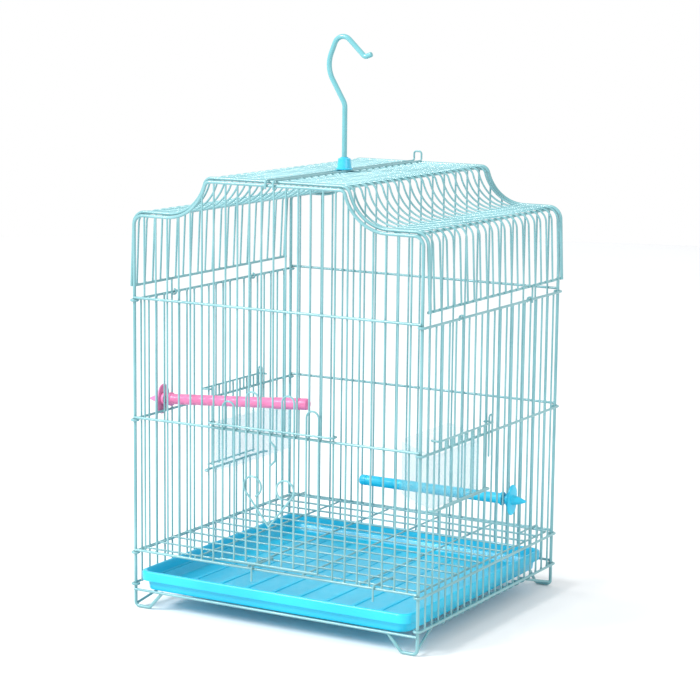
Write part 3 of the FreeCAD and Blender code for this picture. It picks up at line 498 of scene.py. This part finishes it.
# %% [markdown]
# The hook's rod passes through a moulded collar on the crown and is held from below by a
# washer, so that the cage can turn as it hangs. Both are simple turned shapes with a bore for
# the rod. The collar is a thin flange on the wires, a short cone and a neck ring.

# %% Collar and washer
BORE = 2.6
WASHER_EASE = 0.4
collar_low, collar_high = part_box("hook_collar")
washer_low, washer_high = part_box("hook_washer")
axis_x = (washer_low.x + washer_high.x) / 2
axis_y = (washer_low.y + washer_high.y) / 2
tall = 1000 * (collar_high.z - collar_low.z)
wide = 500 * (washer_high.x - washer_low.x)
thick = 1000 * (washer_high.z - washer_low.z)

work = bmesh.new()
lathe(work, [(0, BORE), (0, 7.5), (0.3, 7.8), (1.1, 7.8), (1.4, 7.4), (1.9, 6.7), (9.8, 5.8), (10.3, 5.3),
             (10.5, 4.2), (10.8, 3.8), (tall - 0.5, 3.8), (tall, 3.4), (tall, BORE), (0, BORE)],
      (axis_x, axis_y, collar_low.z), (0, 0, 1))
add_piece("collar_turned", work, "roof", "collar_plastic", ["hook_collar"])

work = bmesh.new()
lathe(work, [(0, BORE), (0, wide - WASHER_EASE), (WASHER_EASE, wide), (thick - WASHER_EASE, wide),
             (thick, wide - WASHER_EASE), (thick, BORE), (0, BORE)],
      (axis_x, axis_y, washer_low.z), (0, 0, 1))
add_piece("washer_turned", work, "roof", "collar_plastic", ["hook_washer"])

# %% [markdown]
# Wires that cross are pressed together by two electrodes and melt into each other, and the
# paint rounds off the join. A small ball at each crossing gives that. To find the crossings, a
# copy of each wire node is merged, because the node itself is loose triangles, and split into
# its separate wires. Where the boxes of two wires meet, the wires cross, if the place they
# share is no longer than a weld could be.

# %% Find the welds
LONGEST_WELD = 0.006


def wires_of(node):
    """The box of each separate wire in a node, as pairs of corners."""
    work = bmesh.new()
    work.from_mesh(frame["nodes"][node].data)
    bmesh.ops.remove_doubles(work, verts=work.verts, dist=1e-6)
    left_over = set(work.verts)
    boxes = []
    while left_over:
        wire, to_visit = [], [left_over.pop()]
        while to_visit:
            vert = to_visit.pop()
            wire.append(vert.co)
            for edge in vert.link_edges:
                other = edge.other_vert(vert)
                if other in left_over:
                    left_over.remove(other)
                    to_visit.append(other)
        boxes.append([Vector(pick(co[i] for co in wire) for i in range(3)) for pick in (min, max)])
    work.free()
    return boxes


def crossings(first, second):
    """The middle of each place where a wire of one node meets a wire of another."""
    found = []
    for low_a, high_a in first:
        for low_b, high_b in second:
            low = Vector(map(max, low_a, low_b))
            high = Vector(map(min, high_a, high_b))
            shared = high - low
            if min(shared) > 0 and max(shared) < LONGEST_WELD:
                found.append((low + high) / 2)
    return found


welded_pairs = {
    "cage": [(side + "_bars", side + "_rails") for side in ("front", "rear", "left", "right")],
    "roof": [("roof_hoops", "roof_ties"), ("roof_end_wires", "roof_ties")],
    "floor_grid": [("grid_cross_wires", "grid_long_wires")],
}
wires = {node: wires_of(node) for pairs in welded_pairs.values() for pair in pairs for node in pair}
for node, boxes in wires.items():
    print(node, len(boxes), "wires")

# %% Place the weld balls
WELD_RADIUS = 0.00135
KEEP_SHARP = 80
for body, pairs in welded_pairs.items():
    work = bmesh.new()
    for first, second in pairs:
        spots = crossings(wires[first], wires[second])
        print(first, "x", second, len(spots), "crossings")
        for spot in spots:
            bmesh.ops.create_uvsphere(work, u_segments=8, v_segments=4, radius=WELD_RADIUS,
                                      matrix=Matrix.Translation(spot))
    add_piece(body + "_welds", work, body, "cage_wire", keep_sharp=KEEP_SHARP)

# %% [markdown]
# The hook's rod is cut off and its edge is rounded, so its tip is a small dome and not a flat
# disc. A turned cap on the end face gives that. The end face is the set of points of the rod
# that lie farthest along the direction that the tip points in.

# %% Hook tip
TIP_TURN = math.radians(20.6)
TIP_SEARCH, ON_END_FACE = 0.040, 1e-5
DOME = ((-0.6, 0), (-0.6, 0.96), (0.0, 1), (0.45, 0.93), (0.85, 0.7), (1.05, 0.36), (1.1, 0))
DOME_STEPS = 32

tip_way = Vector((math.cos(TIP_TURN), 0, math.sin(TIP_TURN)))
rod_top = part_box("hook_rod")[1].z
rod_points = [vert.co for vert in frame["nodes"]["hook_rod"].data.vertices
              if vert.co.z > rod_top - TIP_SEARCH]
farthest = max(point.dot(tip_way) for point in rod_points)
end_face = [point for point in rod_points if point.dot(tip_way) > farthest - ON_END_FACE]
end_middle = sum(end_face, Vector()) / len(end_face)
end_radius = 1000 * max((point - end_middle).length for point in end_face)
print("hook tip at", [round(1000 * value, 1) for value in end_middle], "radius", round(end_radius, 2))

work = bmesh.new()
dome = [(distance, share * end_radius) for distance, share in DOME]
lathe(work, dome, end_middle, tip_way, steps=DOME_STEPS)
add_piece("hook_tip", work, "hook", "hook_wire")
